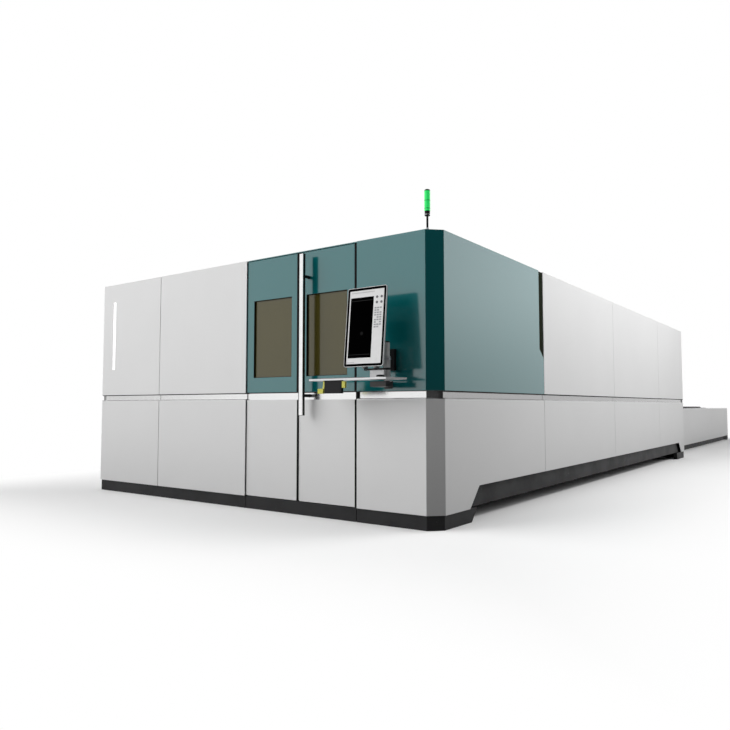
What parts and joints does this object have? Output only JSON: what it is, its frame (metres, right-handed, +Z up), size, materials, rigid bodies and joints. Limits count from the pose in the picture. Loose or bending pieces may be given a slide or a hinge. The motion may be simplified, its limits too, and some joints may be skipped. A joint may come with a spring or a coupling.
{
  "type": "fiber laser cutting machine",
  "caption": "Enclosed sheet cutting machine with sliding doors, a swivelling console, a gantry with a cutting head, and an exchange table with two pallets.",
  "frame": {"origin": "floor, under the centre of the whole machine's outline", "axes": "+Z up; -Y is the operator's front with the doors; +Y runs out along the exchange table; +X is the long side on the operator's right"},
  "size_m": [4.37, 17, 2.628],
  "materials": {
    "teal_paint": "satin powder coat",
    "white_paint": "satin powder coat",
    "light_paint": "satin powder coat",
    "charcoal_paint": "matte powder coat",
    "frame_grey": "satin",
    "bed_paint": "satin",
    "amber_glass": "tinted",
    "satin_steel": "satin",
    "bright_steel": "ground",
    "raw_steel": "mill scale",
    "aluminium": "anodised",
    "silver_plastic": "satin",
    "white_plastic": "satin",
    "black_plastic": "matte",
    "screen_black": "gloss",
    "yellow_plastic": "satin",
    "green_lamp": "translucent, lit",
    "lamp_white": "translucent, lit",
    "brass": "turned"
  },
  "bodies": {
    "machine": {"skin_upper_corner": "teal_paint", "door_header": "teal_paint", "skin_upper_front": "white_paint", "skin_upper_right": "white_paint", "skin_upper_left": "white_paint", "skin_rear": "white_paint", "roof": "white_paint", "skin_lower_corner": "light_paint", "skin_lower_front": "light_paint", "skin_lower_right": "light_paint", "skin_lower_left": "light_paint", "table_skins": "light_paint", "plinth": "charcoal_paint", "skirts": "charcoal_paint", "table_plinth": "charcoal_paint", "table_stops": "charcoal_paint", "frame_front": "frame_grey", "frame_right": "frame_grey", "frame_left": "frame_grey", "frame_rear": "frame_grey", "roof_beams": "frame_grey", "table_frame": "frame_grey", "bed": "bed_paint", "scrap_belt": "raw_steel", "wheel_ledges": "bed_paint", "bed_guides": "bright_steel", "side_window": "amber_glass", "light_strip": "lamp_white", "door_track": "bright_steel", "console_arm": "charcoal_paint", "tower_pole": "black_plastic", "tower_lamp": "green_lamp", "tower_cap": "black_plastic"},
    "leaf_right": {"leaf_right_body": "light_paint", "leaf_right_skin": "teal_paint", "leaf_right_window": "amber_glass", "door_handle": "satin_steel"},
    "leaf_left": {"leaf_left_body": "light_paint", "leaf_left_skin": "teal_paint", "leaf_left_window": "amber_glass"},
    "console": {"console_tray": "satin_steel", "console_carrier": "silver_plastic", "hand_unit": "black_plastic", "hand_unit_trim": "yellow_plastic"},
    "screen": {"screen_shell": "silver_plastic", "screen_bezel": "black_plastic", "screen_face": "white_plastic", "screen_display": "screen_black"},
    "gantry": {"gantry_beam": "white_paint", "gantry_motors": "black_plastic", "gantry_guides": "bright_steel"},
    "carriage": {"cross_carriage": "aluminium"},
    "head": {"head_slide": "aluminium", "cutting_head": "black_plastic", "nozzle": "brass"},
    "pallet_lower": {"pallet_lower_frame": "bed_paint", "pallet_lower_slats": "raw_steel"},
    "pallet_upper": {"pallet_upper_frame": "bed_paint", "pallet_upper_slats": "raw_steel"}
  },
  "joints": [
    {"name": "door_right_slide", "type": "slide", "parent": "machine", "child": "leaf_right", "axis": [1, 0, 0], "range_m": [0, 0.5]},
    {"name": "door_left_slide", "type": "slide", "parent": "machine", "child": "leaf_left", "axis": [-1, 0, 0], "range_m": [0, 0.5]},
    {"name": "console_swivel", "type": "hinge", "parent": "machine", "child": "console", "pos_m": [1.834, -8.365, 1.15], "axis": [0, 0, 1], "range_deg": [0, 90]},
    {"name": "screen_tilt", "type": "hinge", "parent": "console", "child": "screen", "pos_m": [1.6915, -8.388, 1.335], "axis": [1, 0, 0], "range_deg": [-12, 5.5]},
    {"name": "gantry_travel", "type": "slide", "parent": "machine", "child": "gantry", "axis": [0, 1, 0], "range_m": [0, 6.7]},
    {"name": "carriage_travel", "type": "slide", "parent": "gantry", "child": "carriage", "axis": [1, 0, 0], "range_m": [0, 2.5]},
    {"name": "head_lift", "type": "slide", "parent": "carriage", "child": "head", "axis": [0, 0, 1], "range_m": [-0.31, 0]},
    {"name": "pallet_lower_travel", "type": "slide", "parent": "machine", "child": "pallet_lower", "axis": [0, 1, 0], "range_m": [0, 7.7]},
    {"name": "pallet_upper_travel", "type": "slide", "parent": "machine", "child": "pallet_upper", "axis": [0, -1, 0], "range_m": [0, 7.7]}
  ],
  "couplings": [
    {"joint": "door_left_slide", "follows": "door_right_slide", "ratio": 1},
    {"joint": "pallet_upper_travel", "follows": "pallet_lower_travel", "ratio": 1}
  ]
}
